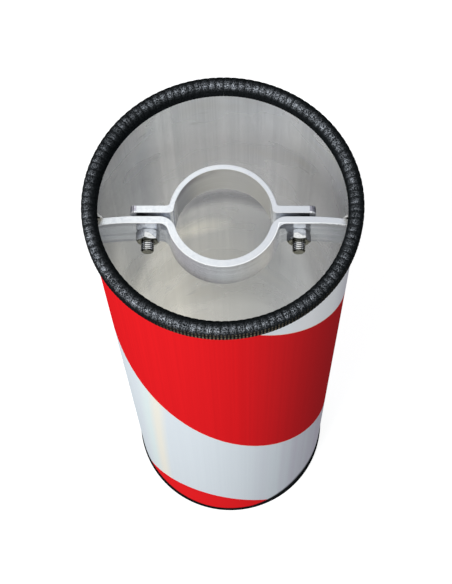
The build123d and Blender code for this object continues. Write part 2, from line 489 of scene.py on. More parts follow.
def drawnAluminium():
    look = tubeLook
    material, tree, shader = newMaterial("drawnAluminium")
    x, y, z = split(tree)
    fine = pattern(tree, look["drawLines"], 3)
    broad = pattern(tree, look["broadLines"])
    lines = mixed(tree, fine, broad, look["lineMix"])
    cloud = pattern(tree, look["smudges"])
    smears = pattern(tree, look["smears"], 3)
    rear = spread(tree, y, *look["rearStarts"])
    tone = markedTone(tree, rearPaintedLight(tree, x, z), x, z)
    tone = blend(tree, rear, look["front"], tone)
    drawn = within(tree, look, (lines, "lineRange"), (z, "lineFade"))
    tone = blend(tree, drawn, tone, look["line"], "MULTIPLY")
    smear = within(tree, look, (smears, "smearRange"), (x, "smearSide"))
    tone = blend(tree, times(tree, smear, rear), tone, look["smear"])
    tone = blend(tree, spread(tree, cloud, *look["stainRange"]), tone, look["stain"])
    finishWith(tree, shader, tone, spread(tree, cloud, *look["rough"]), look["metal"])
    bump(tree, shader, lines, *look["bump"])
    return material


# Flat bar aluminium of the clamps: lines along the bar, painted highlights on the corners, paler sawn edges

clampLook = {
    "face": (0.81, 0.85, 0.92, 1),
    "faceDark": (0.64, 0.675, 0.74, 1),
    "faceRange": (0.40, 0.60),
    "faceEnd": (0.385, 0.405, 0.45, 1),  # painted shade, darker towards the wall
    "endReach": (0.060, 0.095),
    "endSide": (-0.05, 0.05, 0.15, 1.0),
    "border": (0.42, 0.43, 0.47, 1),  # painted shade, darker along the strip's long borders
    "borderWide": (7 * mm, 1.5 * mm, 0.0, 0.7),
    "borderReach": (0.048, 0.062, 0.3, 1.0),
    "inside": (0.62, 0.61, 0.585, 1),  # painted shade: darker inner side of the cap
    "insideStarts": (0.004, 0.012),
    "insideShare": 0.85,
    "insideRough": 0.30,
    "insideSmudge": (0.36, 0.345, 0.365, 1),  # along the cap's upper border, on the left
    "smudges": (48, 48, 70),
    "smudgeRange": (0.42, 0.62, 0.0, 0.8),
    "smudgeDrop": (13 * mm, 4 * mm),
    "smudgeSide": (0.0, -0.016),
    "archStarts": (-0.012, -0.022),
    "archLeft": (0.62, 0.60, 0.69, 1),
    "archLeftReach": (0.0, -0.030),
    "archRight": (0.72, 0.71, 0.71, 1),
    "archRightReach": (0.0, 0.036),
    "archLow": (0.40, 0.39, 0.41, 1),  # shade along the arch's lower border
    "archLowWide": (14 * mm, 2 * mm),
    "archLowSide": (0.03, -0.02, 0.25, 0.95),
    "joint": (0.05, 0.05, 0.055, 1),  # painted shade in the gap between ear and bar
    "jointBack": (0.0035, 0.0025),
    "jointFront": (-0.001, 0.0002),
    "jointFacing": (-0.4, -0.8),
    "jointReach": (0.046, 0.060),
    "jointSide": (-0.05, 0.05, 1.0, 0.75),
    "edge": (0.96, 0.975, 0.98, 1),
    "edgeFacing": (0.75, 0.97),
    "edgeRight": (0.68, 0.69, 0.72, 1),  # painted shade: the cut darker towards the right
    "edgeSide": (-0.05, 0.06),
    "edgeRough": 0.22,
    "sawMarks": (420, 420, 60),
    "sawRange": (0.40, 0.75, 0.0, 0.35),
    # painted highlight along corners and edges
    "corner": (1.0, 1.0, 1.0, 1),
    "cornerWide": (0.8 * mm, 0.48 * mm),
    "lineStarts": (0.0, 0.2 * mm),  # painted highlight: bright line along the front of the cut
    "lineEnds": (1.1 * mm, 0.7 * mm),
    # painted shade on the ears' rounded ends, and a painted highlight at their front corner
    "earLeft": (0.56, 0.53, 0.60, 1),
    "earRight": (0.30, 0.29, 0.34, 1),
    "earSide": (-0.03, 0.03),
    "earStarts": (0.0648, 0.0656),
    "earDepth": (0.0, 0.5 * mm),
    "earCorner": (2.6 * mm, 1.8 * mm),
    "earShadeBreakup": (0.80, 0.45),
    "heat": (0.74, 0.70, 0.58, 1),
    "heatAt": (96.5 * mm, -4.0 * mm),
    "heatReach": (7.0 * mm, 5.0 * mm),
    "heatWear": (0.25, 0.55, 0.5, 1.0),
    "heatSide": (-0.05, 0.05, 1.0, 0.4),
    "rollLines": (14, 14, 1300),
    "rollBands": (5, 5, 230),
    "rollMix": (0.4, 0.6),
    "rough": (0.3, 0.7, 0.10, 0.20),
    "bumpMix": (0.6, 0.4),
    "bump": (0.10, 0.03 * mm),
    "archRadius": 43.25 * mm,
    "front": 7.85 * mm,
    "setStart": 66.54 * mm,
    "setBend": 2.73,  # one over twice the radius of the ends' forward sweep
    "metal": 0.75,
}


def frontDistance(tree, x, y):  # distance from a bar's front edge, on its upper edge face
    look = clampLook
    over = calc(tree, "MAXIMUM", minus(tree, sizeOf(tree, x), look["setStart"]), 0.0)
    wing = plus(tree, plus(tree, y, look["front"]), times(tree, over, over, look["setBend"]))
    return calc(tree, "MAXIMUM", minus(tree, look["archRadius"], distance(tree, x, y)), wing)


def archTone(tree, face, x, y, rise):  # painted shade: one darker tone on each side of the arch, shaded below
    look = clampLook
    arch = spread(tree, y, *look["archStarts"])
    for side in ("archLeft", "archRight"):
        share = times(tree, arch, spread(tree, x, *look[side + "Reach"]))
        face = blend(tree, share, face, look[side])
    under = within(tree, look, (rise, "archLowWide"), (x, "archLowSide"))
    return blend(tree, times(tree, under, arch), face, look["archLow"])


def insideTone(tree, face, inner, x, drop):
    look = clampLook
    face = blend(tree, times(tree, inner, look["insideShare"]), face, look["inside"])
    smudges = pattern(tree, look["smudges"])
    smudge = within(tree, look, (smudges, "smudgeRange"), (drop, "smudgeDrop"), (x, "smudgeSide"))
    return blend(tree, times(tree, smudge, inner), face, look["insideSmudge"])


def gapShadeShare(tree, x, y, sideways, backward):  # painted shade in the gap, on faces that point forward
    return within(tree, clampLook, (y, "jointBack"), (y, "jointFront"), (backward, "jointFacing"),
                  (sideways, "jointReach"), (x, "jointSide"))


def cutTone(tree, x, y, saw):  # sawn edge, darker towards the right as painted shade, with a painted highlight line along its front
    look = clampLook
    cut = blend(tree, spread(tree, x, *look["edgeSide"]), look["edge"], look["edgeRight"])
    cut = blend(tree, spread(tree, saw, *look["sawRange"]), cut, look["faceDark"])
    front = frontDistance(tree, x, y)
    line = within(tree, look, (front, "lineStarts"), (front, "lineEnds"))
    return blend(tree, line, cut, look["corner"])


def earShadeAndGlint(tree, colour, x, y, sideways, saw):  # painted shade on the ears' rounded ends, lighter on the left, with a painted highlight at their lower front
    look = clampLook
    tone = blend(tree, spread(tree, x, *look["earSide"]), look["earLeft"], look["earRight"])
    tone = blend(tree, spread(tree, y, *look["earCorner"]), tone, look["corner"])
    end = within(tree, look, (sideways, "earStarts"), (y, "earDepth"), (saw, "earShadeBreakup"))
    return blend(tree, end, colour, tone)


def heatShare(tree, x, y, sideways, saw):  # straw tint beside the welds
    look = clampLook
    inward = minus(tree, look["heatAt"][0], sideways)
    away = distance(tree, inward, minus(tree, y, look["heatAt"][1]))
    return within(tree, look, (away, "heatReach"), (saw, "heatWear"), (x, "heatSide"))


def barAluminium(level):
    look = clampLook
    low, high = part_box(level + "_clamp_bar")
    material, tree, shader = newMaterial(level + "BarAluminium")
    x, y, z = split(tree)
    sideways = sizeOf(tree, x)
    facing = faceWay(tree)
    fine = pattern(tree, look["rollLines"], 3)
    bands = pattern(tree, look["rollBands"], 1)
    roll = mixed(tree, fine, bands, look["rollMix"])
    saw = pattern(tree, look["sawMarks"], 3)
    edge = spread(tree, sizeOf(tree, facing[2]), *look["edgeFacing"])
    inner = spread(tree, y, *look["insideStarts"])
    depth = minus(tree, (high.z - low.z) / 2, awayFrom(tree, z, (low.z + high.z) / 2))

    face = blend(tree, spread(tree, roll, *look["faceRange"]), look["faceDark"], look["face"])
    # painted shade towards the wall, deeper on the right
    endShade = within(tree, look, (sideways, "endReach"), (x, "endSide"))
    face = blend(tree, endShade, face, look["faceEnd"])
    face = archTone(tree, face, x, y, minus(tree, z, low.z))
    # painted shade along the long borders
    border = within(tree, look, (depth, "borderWide"), (sideways, "borderReach"))
    face = blend(tree, border, face, look["border"])
    face = insideTone(tree, face, inner, x, minus(tree, high.z, z))
    face = blend(tree, gapShadeShare(tree, x, y, sideways, facing[1]), face, look["joint"])
    # painted highlight along the faces' upper and lower corners
    face = blend(tree, spread(tree, depth, *look["cornerWide"]), face, look["corner"])

    colour = blend(tree, edge, face, cutTone(tree, x, y, saw))
    colour = earShadeAndGlint(tree, colour, x, y, sideways, saw)
    colour = blend(tree, heatShare(tree, x, y, sideways, saw), colour, look["heat"])
    dull = calc(tree, "MAXIMUM", times(tree, edge, look["edgeRough"]),
                times(tree, inner, look["insideRough"]))
    rough = calc(tree, "MAXIMUM", spread(tree, roll, *look["rough"]), dull)
    finishWith(tree, shader, colour, rough, look["metal"])
    bump(tree, shader, mixed(tree, roll, saw, look["bumpMix"]), *look["bump"])
    return material


# Reflective film: fine upright streaks, faint colour drift, warm hairline along the stripes' edges

filmLook = {
    "red": (0.79, 0.0135, 0.0175, 1),
    "redDeep": (0.75, 0.0125, 0.0165, 1),
    # painted shade round the right side
    "redRight": (0.50, 0.0240, 0.0290, 1),
    "redTurn": (0.10, 1.30),
    "redFoot": (0.88, 0.0170, 0.0215, 1),
    "footHigh": (0.10, 0.05),
    "white": (0.74, 0.80, 0.845, 1),
    "whiteDeep": (0.725, 0.785, 0.832, 1),
    # painted shade round the right side
    "whiteRight": (0.63, 0.60, 0.68, 1),
    "whiteTurn": (0.50, 1.35),
    "turnEnds": (2.9, 1.9),
    "streaks": (420, 420, 1.5),
    "streakRange": (0.35, 0.65),
    # the warm band is a painted highlight with a warm tint
    "warm": (0.87, 0.85, 0.76, 1),
    "warmBand": (-0.755, 0.11),  # middle at the foot and half width, in radians from the front
    "green": (0.76, 0.85, 0.85, 1),
    "greenBand": (-0.87, 0.15),
    "bandCore": 0.2,  # share of a band's width that is full
    "bandLean": 0.72,
    "lilac": (0.62, 0.58, 0.68, 1),
    "lilacOften": 5.0,
    "lilacStarts": (0.2, 0.9, 0.0, 0.7),
    "lilacEnds": (2.6, 1.8),
    "lilacRange": (0.42, 0.62),
    "glint": (0.97, 0.98, 1.0, 1),  # upper right, where the film returns most light
    "glintHigh": (0.34, 0.46),
    "glintStarts": (0.30, 0.70),
    "glintEnds": (1.40, 1.00),
    "hairline": (0.93, 0.60, 0.40, 1),
    "hairlineWide": (0.0, 1.5 * mm, 0.9, 0.0),
    "footDark": (0.014, 0.016, 0.017, 1),
    "footDarkLow": 0.006,  # top of the foot trim
    "footDarkRight": (0.25, 0.85, 0.0, 0.023),  # rises more on the right than on the left
    "footDarkLeft": (-0.30, -0.90, 0.0, 0.008),
    "footDarkLeast": 0.001,
    "footDarkBack": (2.2, 1.5),
    "footDarkFade": (1.0, 0.45),
    "radius": 0.1,
    "slope": math.tan(math.radians(44)),
    "lowEdge": 0.288,
    "bandHigh": 0.314,
    "rough": (0.3, 0.7, 0.40, 0.55),
    "gloss": 0.0,
    "bump": (0.06, 0.05 * mm),
}


def edgeDistance(tree, turn, z):  # distance to the nearer slanted edge of the red band
    look = filmLook
    fall = times(tree, turn, look["radius"] * look["slope"])
    above = minus(tree, plus(tree, z, fall), look["lowEdge"])
    below = minus(tree, above, look["bandHigh"])
    return calc(tree, "MINIMUM", sizeOf(tree, above), sizeOf(tree, below))


def bandShare(tree, turn, z, band):  # 1 in the middle of a slightly leaning band
    middle, wide = band
    upright = minus(tree, turn, times(tree, z, z, filmLook["bandLean"]))
    return spread(tree, awayFrom(tree, upright, middle), wide, filmLook["bandCore"] * wide)


def footDarkShare(tree, turn, z):  # dark band along the foot, higher at the sides than in front
    look = filmLook
    rise = plus(tree, spread(tree, turn, *look["footDarkRight"]), spread(tree, turn, *look["footDarkLeft"]))
    rise = times(tree, rise, spread(tree, sizeOf(tree, turn), *look["footDarkBack"]))
    over = minus(tree, z, look["footDarkLow"])
    part = calc(tree, "DIVIDE", over, plus(tree, rise, look["footDarkLeast"]))
    return spread(tree, part, *look["footDarkFade"])


def tintedWhite(tree, colour, turn, z):
    look = filmLook
    for tint in ("green", "warm"):
        colour = blend(tree, bandShare(tree, turn, z, look[tint + "Band"]), colour, look[tint])
    around = addNode(tree, "CombineXYZ", {0: times(tree, turn, look["lilacOften"])}).outputs[0]
    clouds = noise(tree, around)
    lilac = within(tree, look, (turn, "lilacStarts"), (turn, "lilacEnds"), (clouds, "lilacRange"))
    colour = blend(tree, lilac, colour, look["lilac"])
    upper = within(tree, look, (z, "glintHigh"), (turn, "glintStarts"), (turn, "glintEnds"))
    colour = blend(tree, upper, colour, look["glint"])
    line = spread(tree, edgeDistance(tree, turn, z), *look["hairlineWide"])
    return blend(tree, line, colour, look["hairline"])


def reflectiveFilm(name, tone, tinted):
    look = filmLook
    material, tree, shader = newMaterial(name)
    x, y, z = split(tree)
    turn = turnRound(tree, x, y)
    streak = pattern(tree, look["streaks"])
    colour = blend(tree, spread(tree, streak, *look["streakRange"]), look[tone + "Deep"], look[tone])
    # painted shade: darker round the right side, fading out again towards the back
    aside = within(tree, look, (turn, tone + "Turn"), (turn, "turnEnds"))
    colour = blend(tree, aside, colour, look[tone + "Right"])
    if tinted:
        colour = tintedWhite(tree, colour, turn, z)
    else:
        colour = blend(tree, spread(tree, z, *look["footHigh"]), colour, look["redFoot"])
    colour = blend(tree, footDarkShare(tree, turn, z), colour, look["footDark"])
    finishWith(tree, shader, colour, spread(tree, streak, *look["rough"]))
    shader.inputs["Specular IOR Level"].default_value = look["gloss"]
    bump(tree, shader, streak, *look["bump"])
    return material


# Black trim rubber: fine grain, pale flecks painted as highlights on the ribs where the light strikes,
# dusty dashes on the outer leg

trimLook = {
    "black": (0.0050, 0.0062, 0.0066, 1),
    "grain": (0.015, 0.017, 0.019, 1),
    "grainCells": 900,
    "fineGrain": 1150,
    "grainMix": 0.5,
    "grainRange": (0.35, 0.85),
    "fleck": (0.56, 0.60, 0.66, 1),
    "flecks": (1100, 1300),  # across and along the crown, per metre
    "fleckRange": (0.43, 0.63),
    "clumps": 330,
    "clumpRange": (0.38, 0.62, 0.5, 1.0),
    "patches": 120,
    "patchRange": (0.36, 0.58, 0.6, 1.0),
    "crownMiddle": 98.8 * mm,
    "crownHigh": (0.590, 0.594),
    "lit": (-0.256, -0.485, 0.836),  # way the side with the painted highlight faces
    "litSharp": 9.0,
    "swing": (5.31, 1.9),  # phase and gain: more painted highlight on two opposite sides
    "ribs": 110,
    "ribShare": (1.0, 0.50, 0.30),
    "dust": (0.21, 0.175, 0.115, 1),
    "dashes": 248,
    "dashRange": (0.40, 0.70),
    "dustTurn": (0.08, 0.60, 0.22),  # middle, and how far aside dust ends and is full
    "dustBeside": (0.30, 0.60, 0.0, 0.3),
    "dustEnds": (1.5, 1.1),
    "dustGrain": (0.40, 0.62, 0.3, 1.0),
    "legReach": (0.1022, 0.1030),
    "rows": ((0.5870, 0.5925, 1.0), (0.5935, 0.5962, 0.6)),  # low, high and strength of the rows of dashes
    "rowEdge": 0.6 * mm,
    "rough": (0.3, 0.7, 0.42, 0.60),
    "gloss": 0.0,
    "bump": (0.6, 0.2 * mm),
}


def pulse(tree, turn, count):  # 1 between each two of the marks round the rim, 0 on them
    part = calc(tree, "FRACT", times(tree, turn, count / (2 * math.pi)))
    return awayFrom(tree, times(tree, part, 2.0), 1.0)


# painted highlight: pale flecks where the ribs face the light
def fleckShare(tree, place, turn, radius, z):
    look = trimLook
    across, along = look["flecks"]
    rolled = {0: times(tree, radius, across), 1: times(tree, turn, along * look["crownMiddle"]),
              2: times(tree, z, across)}
    rolled = addNode(tree, "CombineXYZ", rolled).outputs[0]
    fleck = noise(tree, rolled, detail=1)
    clump = noise(tree, place, look["clumps"], detail=1)
    patch = noise(tree, place, look["patches"])
    rib = pulse(tree, turn, look["ribs"])
    facing = addNode(tree, "NewGeometry").outputs["Normal"]
    toLight = addNode(tree, "VectorMath", {0: facing, 1: look["lit"]}, operation="DOT_PRODUCT")
    toLight = calc(tree, "MAXIMUM", toLight.outputs["Value"], 0.0)
    lit = calc(tree, "POWER", toLight, look["litSharp"])
    phase, gain = look["swing"]
    swing = calc(tree, "COSINE", minus(tree, times(tree, turn, 2.0), phase))
    lit = times(tree, lit, spread(tree, swing, -1.0, 1.0, gain, 1.0))
    shine = within(tree, look, (fleck, "fleckRange"), (clump, "clumpRange"), (z, "crownHigh"),
                   (rib, "ribShare"), (patch, "patchRange"))
    return times(tree, shine, lit)


def dashShare(tree, turn, radius, fine):  # dusty in front, fainter beside
    look = trimLook
    middle, end, full = look["dustTurn"]
    dusty = spread(tree, awayFrom(tree, turn, middle), end, full)
    beside = within(tree, look, (turn, "dustBeside"), (turn, "dustEnds"))
    dusty = calc(tree, "MAXIMUM", dusty, beside)
    dash = pulse(tree, turn, look["dashes"])
    dash = within(tree, look, (dash, "dashRange"), (radius, "legReach"), (fine, "dustGrain"))
    return times(tree, dash, dusty)


def trimRubber():
    look = trimLook
    material, tree, shader = newMaterial("trimRubber")
    place = places(tree)
    x, y, z = split(tree)
    turn = turnRound(tree, x, y)
    radius = distance(tree, x, y)
    cells = addNode(tree, "TexVoronoi", {"Vector": place, "Scale": look["grainCells"]}, feature="SMOOTH_F1")
    fine = noise(tree, place, look["fineGrain"], detail=1)
    grain = plus(tree, cells.outputs["Distance"], times(tree, fine, look["grainMix"]))
    colour = blend(tree, spread(tree, grain, *look["grainRange"]), look["grain"], look["black"])
    colour = blend(tree, fleckShare(tree, place, turn, radius, z), colour, look["fleck"])
    dash = dashShare(tree, turn, radius, fine)
    for low, high, strength in look["rows"]:
        row = spread(tree, z, low, low + look["rowEdge"])
        row = times(tree, row, spread(tree, z, high, high - look["rowEdge"]), strength, dash)
        colour = blend(tree, row, colour, look["dust"])
    finishWith(tree, shader, colour, spread(tree, fine, *look["rough"]))
    shader.inputs["Specular IOR Level"].default_value = look["gloss"]
    bump(tree, shader, grain, *look["bump"])
    return material


# Stainless of the bolts and nuts, with painted shade in the thread's grooves

stainlessLook = {
    "bright": (0.88, 0.87, 0.85, 1),
    "dull": (0.74, 0.73, 0.70, 1),
    "marks": (500, 500, 500),
    "markRange": (0.35, 0.65),
    "front": (0.19, 0.19, 0.155, 1),  # painted shade: the turned faces across the thread's axis, where they point forward
    "frontFacing": (-0.35, -0.70),
    "groove": (0.050, 0.047, 0.038, 1),
    "grooveRange": (0.15, 0.75),
    "boltAt": 57.3056 * mm,
    "litStrip": (-0.8 * mm, 1.7 * mm, 0.7 * mm),  # painted highlight: strip along the thread's top where the grooves are left bright
    "litStripFacing": (0.0, 0.4, 0.0, 0.85),
    "rough": (0.3, 0.7, 0.08, 0.16),
    "metal": 1.0,
    "bump": (0.1, 0.03 * mm),
}


def grooveShare(tree, upward):  # painted shade in the grooves, less on the strip of painted highlight
    look = stainlessLook
    groove = addNode(tree, "Attribute", attribute_name="groove").outputs["Fac"]
    x = split(tree)[0]
    aside = minus(tree, x, times(tree, calc(tree, "SIGN", x), look["boltAt"]))
    middle, wide, sure = look["litStrip"]
    litStrip = spread(tree, awayFrom(tree, aside, middle), wide, sure)
    litStrip = times(tree, litStrip, spread(tree, upward, *look["litStripFacing"]))
    return times(tree, spread(tree, groove, *look["grooveRange"]), minus(tree, 1.0, litStrip))


def stainlessSteel(name, threaded):
    look = stainlessLook
    material, tree, shader = newMaterial(name)
    marks = pattern(tree, look["marks"], 3)
    facing = faceWay(tree)
    colour = blend(tree, spread(tree, marks, *look["markRange"]), look["dull"], look["bright"])
    colour = blend(tree, spread(tree, facing[1], *look["frontFacing"]), colour, look["front"])
    if threaded:
        colour = blend(tree, grooveShare(tree, facing[2]), colour, look["groove"])
    finishWith(tree, shader, colour, spread(tree, marks, *look["rough"]), look["metal"])
    bump(tree, shader, marks, *look["bump"])
    return material


# Weld metal, and the steel strip inside the top trim

weldLook = {
    "bright": (0.95, 0.94, 0.91, 1),
    "dull": (0.66, 0.63, 0.57, 1),
    "soot": (0.012, 0.011, 0.010, 1),
    "patches": 420,
    "patchRange": (0.46, 0.70),
    "rough": (0.3, 0.7, 0.30, 0.55),
    "metal": 0.85,
    "bump": (0.3, 0.1 * mm),
}

coreLook = {
    "bright": (0.50, 0.51, 0.53, 1),
    "dull": (0.36, 0.36, 0.37, 1),
    "rollLines": (60, 60, 1500),
    "lineRange": (0.35, 0.65),
    "rough": (0.3, 0.7, 0.30, 0.45),
    "metal": 1.0,
}


def weldMetal():
    look = weldLook
    material, tree, shader = newMaterial("weldMetal")
    patches = noise(tree, places(tree), look["patches"], detail=4)
    colour = blend(tree, spread(tree, patches, *look["patchRange"]), look["bright"], look["dull"])
    soot = addNode(tree, "Attribute", attribute_name="soot").outputs["Fac"]
    colour = blend(tree, soot, colour, look["soot"])
    finishWith(tree, shader, colour, spread(tree, patches, *look["rough"]), look["metal"])
    bump(tree, shader, patches, *look["bump"])
    return material


def stripSteel():
    look = coreLook
    material, tree, shader = newMaterial("stripSteel")
    roll = pattern(tree, look["rollLines"])
    colour = blend(tree, spread(tree, roll, *look["lineRange"]), look["dull"], look["bright"])
    finishWith(tree, shader, colour, spread(tree, roll, *look["rough"]), look["metal"])
    return material


tubeMetal = drawnAluminium()
filmRed = reflectiveFilm("filmRed", "red", False)
filmWhite = reflectiveFilm("filmWhite", "white", True)
rubber = trimRubber()
nutSteel = stainlessSteel("nutSteel", False)
boltSteel = stainlessSteel("boltSteel", True)
bead = weldMetal()
strip = stripSteel()

carried = {
    "sleeve_tube": tubeMetal,
    "film_upper_white": filmWhite,
    "film_red_band": filmRed,
    "film_lower_white": filmWhite,
    "film_foot_red": filmRed,
    "top_trim_core": strip,
    "bottom_trim": rubber,
}
for level in levels:
    barMetal = barAluminium(level)
    carried[level + "_clamp_bar"] = barMetal
    carried[level + "_clamp_cap"] = barMetal
for node, material in carried.items():
    nodes[node].data.materials.clear()
    nodes[node].data.materials.append(material)
print("materials made:", len(bpy.data.materials))


# Top trim: one pillow rib, copied round the rim and closed at the butt joint. Sizes in mm from here on

trimSet = {
    "inner": 93.0,
    "outer": 104.6,
    "innerLeg": 2.4,
    "outerLeg": 4.1,
    "innerStops": (-10.5, -7.5),  # heights of the section's points on its straight sides
    "outerStops": (-6.8, -8.4, -10.0, -11.6),
    "crown": 4.0,
    "high": 13.5,
    "crownRound": 5.6,
    "crownSteps": 8,
    "legRound": 0.9,
    "legSteps": 3,
    "finLong": 1.55,
    "fins": ((-7.3, -8.7), (-10.5, -11.9)),
    "ribs": 110,
    "ribSteps": 8,
    "stepNear": 0.2,  # share of a step within which points belong to it
    "grooves": (0.26, 0.12, 0.03, 0.0, 0.0, 0.0, 0.03, 0.12),  # depth at each step of a rib
    "beads": (0.22, 0.08, 0.02, 0.08, 0.22, 0.08, 0.02, 0.08),  # finer beads on the outer leg
    "beadTop": -6.2,
    "legSkin": 0.3,  # how near the outside a point is to show
    "crownSkin": 0.2,
    "buttGap": 0.1,
    "smooth": 40,  # degrees
}


def trimOutline():
    t = trimSet
    slotIn = t["inner"] + t["innerLeg"]
    slotOut = t["outer"] - t["outerLeg"]
    roof, foot, edge, bend = -t["crown"], -t["high"], t["legRound"], t["crownRound"]
    points = [(slotIn, roof)]
    for top, bottom in t["fins"]:
        reach = slotIn + t["finLong"]
        points += [(slotIn, top), (reach, top), (reach, bottom), (slotIn, bottom)]
    points += arcPoints((slotIn - edge, foot + edge), edge, 0, -90, t["legSteps"])
    points += arcPoints((t["inner"] + edge, foot + edge), edge, 270, 180, t["legSteps"])
    points += [(t["inner"], height) for height in t["innerStops"]]
    points += arcPoints((t["inner"] + bend, -bend), bend, 180, 90, t["crownSteps"])
    points += [((t["inner"] + t["outer"]) / 2, 0)]
    points += arcPoints((t["outer"] - bend, -bend), bend, 90, 0, t["crownSteps"])
    points += [(t["outer"], height) for height in t["outerStops"]]
    points += arcPoints((t["outer"] - edge, foot + edge), edge, 0, -90, t["legSteps"])
    points += arcPoints((slotOut + edge, foot + edge), edge, 270, 180, t["legSteps"])
    points += [(slotOut, roof)]
    return points


def makeTrim():
    t = trimSet
    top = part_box("top_trim")[1].z
    points = [Vector((r * mm, 0, top + z * mm)) for r, z in trimOutline()]
    piece = traceOutline("ribbedTopTrim", points)
    closeOutline(piece, points)
    gapAngle = t["buttGap"] / t["outer"]
    ribAngle = (2 * math.pi - gapAngle) / t["ribs"]
    stepAngle = ribAngle / t["ribSteps"]
    spinRound(t["ribSteps"], ribAngle)
    turnOutwards()

    def heightOf(co):
        return (co.z - top) / mm

    def outside(co):  # the part of the section that shows
        radius = math.hypot(co.x, co.y) / mm
        onLegs = radius < t["inner"] + t["legSkin"] or radius > t["outer"] - t["legSkin"]
        return onLegs or heightOf(co) > -t["crown"] + t["crownSkin"]

    def turned(co):  # steps round from the first groove
        return abs(math.atan2(co.y, co.x)) / stepAngle

    upper = (t["grooves"], t["beadTop"], math.inf)
    lower = (t["beads"], -math.inf, t["beadTop"])
    for step in range(t["ribSteps"] + 1):
        for depths, low, high in (upper, lower):
            depth = depths[step % t["ribSteps"]]
            if depth == 0:
                continue
            pick(piece, lambda co: abs(turned(co) - step) < t["stepNear"] and outside(co)
                 and low < heightOf(co) <= high)
            bpy.ops.transform.shrink_fatten(value=-depth * mm)
    spinRound(t["ribs"] - 1, ribAngle * (t["ribs"] - 1), copies=True)
    mergeDoubles(2 * samePoint)
    sealShell()
    settle(piece, turn=(0, 0, math.pi / 2 + gapAngle / 2))
    return piece


topTrim = makeTrim()
smoothBy(topTrim, trimSet["smooth"])
dress(topTrim, rubber, "sleeve", "top_trim")
print("top trim made:", len(topTrim.data.polygons), "faces")


# Carriage bolts with a cut thread, and hex nuts

boltSet = {
    "pitch": 1.5,
    "outer": 4.95,
    "root": 4.3,
    "crest": 0.70,  # flat on top of the thread
    "rootFlat": 0.14,
    "long": 31.0,
    "plain": 3.02,  # where the thread starts, inside the square neck
    "spareTurns": 2,  # cut away again at both ends
    "turnSteps": 28,
    "endChamfer": 1.0,
    "tipSteps": 56,
    "tipSpare": 0.01,
    "tipBare": 0.3,  # no groove marked this near the end
    "headWide": 24.0,
    "headHigh": 5.4,
    "headRim": 1.0,
    "headEdge": 0.15,
    "headSteps": (10, 48),  # over the dome and round it
    "neckSide": 10.0,
    "neckDeep": 5.5,
    "neckSunk": 1.0,  # into the head
    "neckEdge": 0.5,
    "edgeSteps": 2,
    "smooth": 35,  # degrees
}

nutSet = {
    "flats": 16.0,
    "high": 8.0,
    "faceInset": 0.4,
    "chamferAngle": 30.0,
    "chamferSteps": 96,
    "bore": 5.0,
    "sink": 5.6,
    "boreSteps": 48,
    "edge": 0.35,
    "edgeSteps": 2,
    "edgeAngle": 25,  # degrees
    "turns": {"left": -18.5, "right": -3.4},
    "smooth": 35,  # degrees
}

toolOver = 1.0  # how far a cutting tool stands over what it cuts


def threadRod():
    b = boltSet
    slant = (b["pitch"] - b["crest"] - b["rootFlat"]) / 2
    start = b["plain"] - b["spareTurns"] * b["pitch"]
    outline = [(b["root"], 0), (b["root"], b["rootFlat"]), (b["outer"], b["rootFlat"] + slant),
               (b["outer"], b["rootFlat"] + slant + b["crest"]), (b["root"], b["pitch"])]
    points = [Vector((r * mm, 0, (start + z) * mm)) for r, z in outline]
    rod = traceOutline("threadRod", points)
    closeEdit()
    turns = math.ceil((b["long"] - start) / b["pitch"]) + b["spareTurns"]
    useModifier(rod, "SCREW", axis="Z", angle=2 * math.pi, screw_offset=b["pitch"] * mm, iterations=turns,
                steps=b["turnSteps"], render_steps=b["turnSteps"], use_merge_vertices=True,
                merge_threshold=samePoint)
    openEdit(rod)
    for height, outward in ((b["plain"], -1), (b["long"], 1)):
        selectAll()
        bpy.ops.mesh.bisect(plane_co=(0, 0, height * mm), plane_no=(0, 0, outward), clear_outer=True)
    mergeDoubles(samePoint)
    sealShell()
    around = b["outer"] + toolOver
    end = b["long"] + b["tipSpare"]
    blank = lathe("tipBlank", [(0, 0), (around, 0), (around, b["long"] - b["endChamfer"] - toolOver),
                               (b["outer"] - b["endChamfer"], end), (0, end)], b["tipSteps"])
    carve(rod, blank, "INTERSECT")
    return rod


def makeBolt():
    b = boltSet
    dome = b["headHigh"] - b["headRim"]
    reach = b["headWide"] / 2
    ball = (reach ** 2 + dome ** 2) / (2 * dome)
    swing = math.degrees(math.asin(reach / ball))
    overDome, roundHead = b["headSteps"]
    crown = arcPoints((0, ball - b["headHigh"]), ball, -90, swing - 90, overDome)
    rim = [(reach, -b["headEdge"]), (reach - b["headEdge"], 0), (0, 0)]
    bolt = lathe("carriageBolt", crown + rim, roundHead)
    clearSelection()
    middle = (b["neckDeep"] - b["neckSunk"]) / 2
    bpy.ops.mesh.primitive_cube_add(size=b["neckSide"] * mm, location=(0, 0, middle * mm))
    neck = named("squareNeck")
    neck.scale.z = (b["neckDeep"] + b["neckSunk"]) / b["neckSide"]
    settle(neck, place=neck.location)
    useModifier(neck, "BEVEL", width=b["neckEdge"] * mm, segments=b["edgeSteps"])
    carve(bolt, neck, "UNION")
    carve(bolt, threadRod(), "UNION")
    markGrooves(bolt)
    return bolt


def markGrooves(bolt):  # 1 at the thread's root, 0 on its crest and on the head
    b = boltSet
    grooves = bolt.data.attributes.new("groove", "FLOAT", "POINT")
    for vert, mark in zip(bolt.data.vertices, grooves.data):
        reach = math.hypot(vert.co.x, vert.co.y) / mm
        threaded = b["neckDeep"] < vert.co.z / mm < b["long"] - b["tipBare"]
        mark.value = max(0.0, (b["outer"] - reach) / (b["outer"] - b["root"])) if threaded else 0.0


